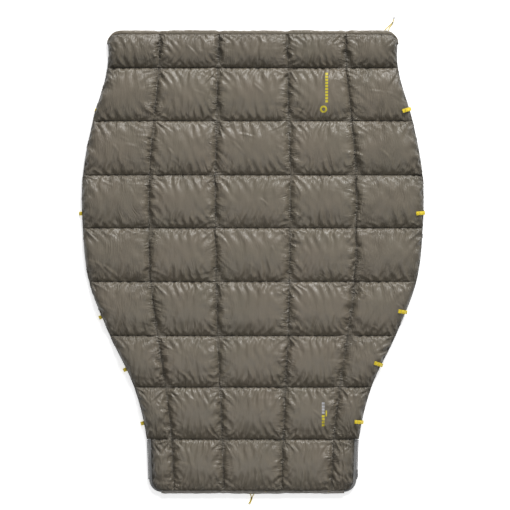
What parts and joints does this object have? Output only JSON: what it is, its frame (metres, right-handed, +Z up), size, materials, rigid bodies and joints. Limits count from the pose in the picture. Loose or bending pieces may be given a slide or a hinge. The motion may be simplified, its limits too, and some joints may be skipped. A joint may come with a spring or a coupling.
{
  "type": "camp quilt",
  "caption": "Open quilt of stuffed sewn-through rows with a tapered foot, webbing loops along its sides, drawcord hems at both ends and a side zip at the foot.",
  "frame": {"origin": "on the ground under the middle of the quilt, which lies open with its outer face up", "axes": "+X across the quilt to its right side, +Y towards the head end, +Z up out of the outer face"},
  "size_m": [1.3905, 1.9729, 0.038],
  "materials": {
    "shell_fabric": "satin",
    "lining_fabric": "satin",
    "insulation": "matte",
    "hem_fabric": "satin",
    "cord": "matte",
    "cord_tip": "matte",
    "webbing": "matte",
    "zip_tape": "matte",
    "zip_chain": "satin",
    "zip_metal": "satin"
  },
  "bodies": {
    "row_1": {"outer_shell_1": "shell_fabric", "insulation_1": "insulation", "lining_1": "lining_fabric", "neck_hem": "hem_fabric", "neck_cord_in_hem": "cord", "neck_cord_a": "cord", "neck_cord_b": "cord", "neck_cord_knot": "cord", "neck_cord_tip": "cord_tip"},
    "row_2": {"outer_shell_2": "shell_fabric", "insulation_2": "insulation", "lining_2": "lining_fabric"},
    "row_3": {"outer_shell_3": "shell_fabric", "insulation_3": "insulation", "lining_3": "lining_fabric"},
    "row_4": {"outer_shell_4": "shell_fabric", "insulation_4": "insulation", "lining_4": "lining_fabric"},
    "row_5": {"outer_shell_5": "shell_fabric", "insulation_5": "insulation", "lining_5": "lining_fabric"},
    "row_6": {"outer_shell_6": "shell_fabric", "insulation_6": "insulation", "lining_6": "lining_fabric"},
    "row_7": {"outer_shell_7": "shell_fabric", "insulation_7": "insulation", "lining_7": "lining_fabric"},
    "row_8": {"outer_shell_8": "shell_fabric", "insulation_8": "insulation", "lining_8": "lining_fabric"},
    "row_9": {"outer_shell_9": "shell_fabric", "insulation_9": "insulation", "lining_9": "lining_fabric", "foot_hem": "hem_fabric", "foot_cord_in_hem": "cord", "foot_cord_a": "cord", "foot_cord_b": "cord", "foot_cord_knot": "cord", "zip_tape_right": "zip_tape", "zip_tape_left": "zip_tape", "zip_chain_right": "zip_chain", "zip_chain_left": "zip_chain", "zip_stop_right": "zip_metal", "zip_stop_left": "zip_metal", "zip_box": "zip_metal", "zip_pin": "zip_metal"},
    "loop_right_2": {"webbing_loop_right_2": "webbing"},
    "loop_left_2": {"webbing_loop_left_2": "webbing"},
    "loop_right_4": {"webbing_loop_right_4": "webbing"},
    "loop_left_4": {"webbing_loop_left_4": "webbing"},
    "loop_right_6": {"webbing_loop_right_6": "webbing"},
    "loop_left_6": {"webbing_loop_left_6": "webbing"},
    "loop_right_7": {"webbing_loop_right_7": "webbing"},
    "loop_left_7": {"webbing_loop_left_7": "webbing"},
    "loop_right_8": {"webbing_loop_right_8": "webbing"},
    "loop_left_8": {"webbing_loop_left_8": "webbing"},
    "slider": {"zip_slider": "zip_metal"},
    "puller": {"zip_puller": "zip_metal"}
  },
  "joints": [
    {"name": "fold_1_2", "type": "hinge", "parent": "row_2", "child": "row_1", "pos_m": [0, 0.786, 0.012], "axis": [1, 0, 0], "range_deg": [-20, 35]},
    {"name": "fold_2_3", "type": "hinge", "parent": "row_3", "child": "row_2", "pos_m": [0, 0.571, 0.012], "axis": [1, 0, 0], "range_deg": [-20, 35]},
    {"name": "fold_3_4", "type": "hinge", "parent": "row_4", "child": "row_3", "pos_m": [0, 0.352, 0.012], "axis": [1, 0, 0], "range_deg": [-20, 35]},
    {"name": "fold_4_5", "type": "hinge", "parent": "row_5", "child": "row_4", "pos_m": [0, 0.138, 0.012], "axis": [1, 0, 0], "range_deg": [-20, 35]},
    {"name": "fold_5_6", "type": "hinge", "parent": "row_5", "child": "row_6", "pos_m": [0, -0.079, 0.012], "axis": [-1, 0, 0], "range_deg": [-20, 35]},
    {"name": "fold_6_7", "type": "hinge", "parent": "row_6", "child": "row_7", "pos_m": [0, -0.298, 0.012], "axis": [-1, 0, 0], "range_deg": [-20, 35]},
    {"name": "fold_7_8", "type": "hinge", "parent": "row_7", "child": "row_8", "pos_m": [0, -0.506, 0.012], "axis": [-1, 0, 0], "range_deg": [-20, 35]},
    {"name": "fold_8_9", "type": "hinge", "parent": "row_8", "child": "row_9", "pos_m": [0, -0.717, 0.012], "axis": [-1, 0, 0], "range_deg": [-20, 35]},
    {"name": "loop_right_2_flip", "type": "hinge", "parent": "row_2", "child": "loop_right_2", "pos_m": [0.63614, 0.61869, 0.012], "axis": [-0.2988, 0.9543, 0], "range_deg": [0, 150]},
    {"name": "loop_left_2_flip", "type": "hinge", "parent": "row_2", "child": "loop_left_2", "pos_m": [-0.63739, 0.61469, 0.012], "axis": [0.2988, 0.9543, 0], "range_deg": [0, 150]},
    {"name": "loop_right_4_flip", "type": "hinge", "parent": "row_4", "child": "loop_right_4", "pos_m": [0.69268, 0.19794, 0.012], "axis": [0.0264, 0.9997, 0], "range_deg": [0, 150]},
    {"name": "loop_left_4_flip", "type": "hinge", "parent": "row_4", "child": "loop_left_4", "pos_m": [-0.69263, 0.19594, 0.012], "axis": [-0.0264, 0.9997, 0], "range_deg": [0, 150]},
    {"name": "loop_right_6_flip", "type": "hinge", "parent": "row_6", "child": "loop_right_6", "pos_m": [0.62045, -0.2039, 0.012], "axis": [0.3913, 0.9203, 0], "range_deg": [0, 150]},
    {"name": "loop_left_6_flip", "type": "hinge", "parent": "row_6", "child": "loop_left_6", "pos_m": [-0.61237, -0.2229, 0.012], "axis": [-0.3913, 0.9203, 0], "range_deg": [0, 150]},
    {"name": "loop_right_7_flip", "type": "hinge", "parent": "row_7", "child": "loop_right_7", "pos_m": [0.52189, -0.41799, 0.012], "axis": [0.4289, 0.9034, 0], "range_deg": [0, 150]},
    {"name": "loop_left_7_flip", "type": "hinge", "parent": "row_7", "child": "loop_left_7", "pos_m": [-0.51382, -0.43499, 0.012], "axis": [-0.4289, 0.9034, 0], "range_deg": [0, 150]},
    {"name": "loop_right_8_flip", "type": "hinge", "parent": "row_8", "child": "loop_right_8", "pos_m": [0.44375, -0.64846, 0.012], "axis": [0.1983, 0.9801, 0], "range_deg": [0, 150]},
    {"name": "loop_left_8_flip", "type": "hinge", "parent": "row_8", "child": "loop_left_8", "pos_m": [-0.44294, -0.65246, 0.012], "axis": [-0.1983, 0.9801, 0], "range_deg": [0, 150]},
    {"name": "slider_run", "type": "slide", "parent": "row_9", "child": "slider", "axis": [0.0367, 0.9993, 0], "range_m": [0, 0.115]},
    {"name": "puller_flip", "type": "hinge", "parent": "slider", "child": "puller", "pos_m": [0.42159, -0.8644, 0.0168], "axis": [0.9993, -0.0367, 0], "range_deg": [0, 175]}
  ]
}
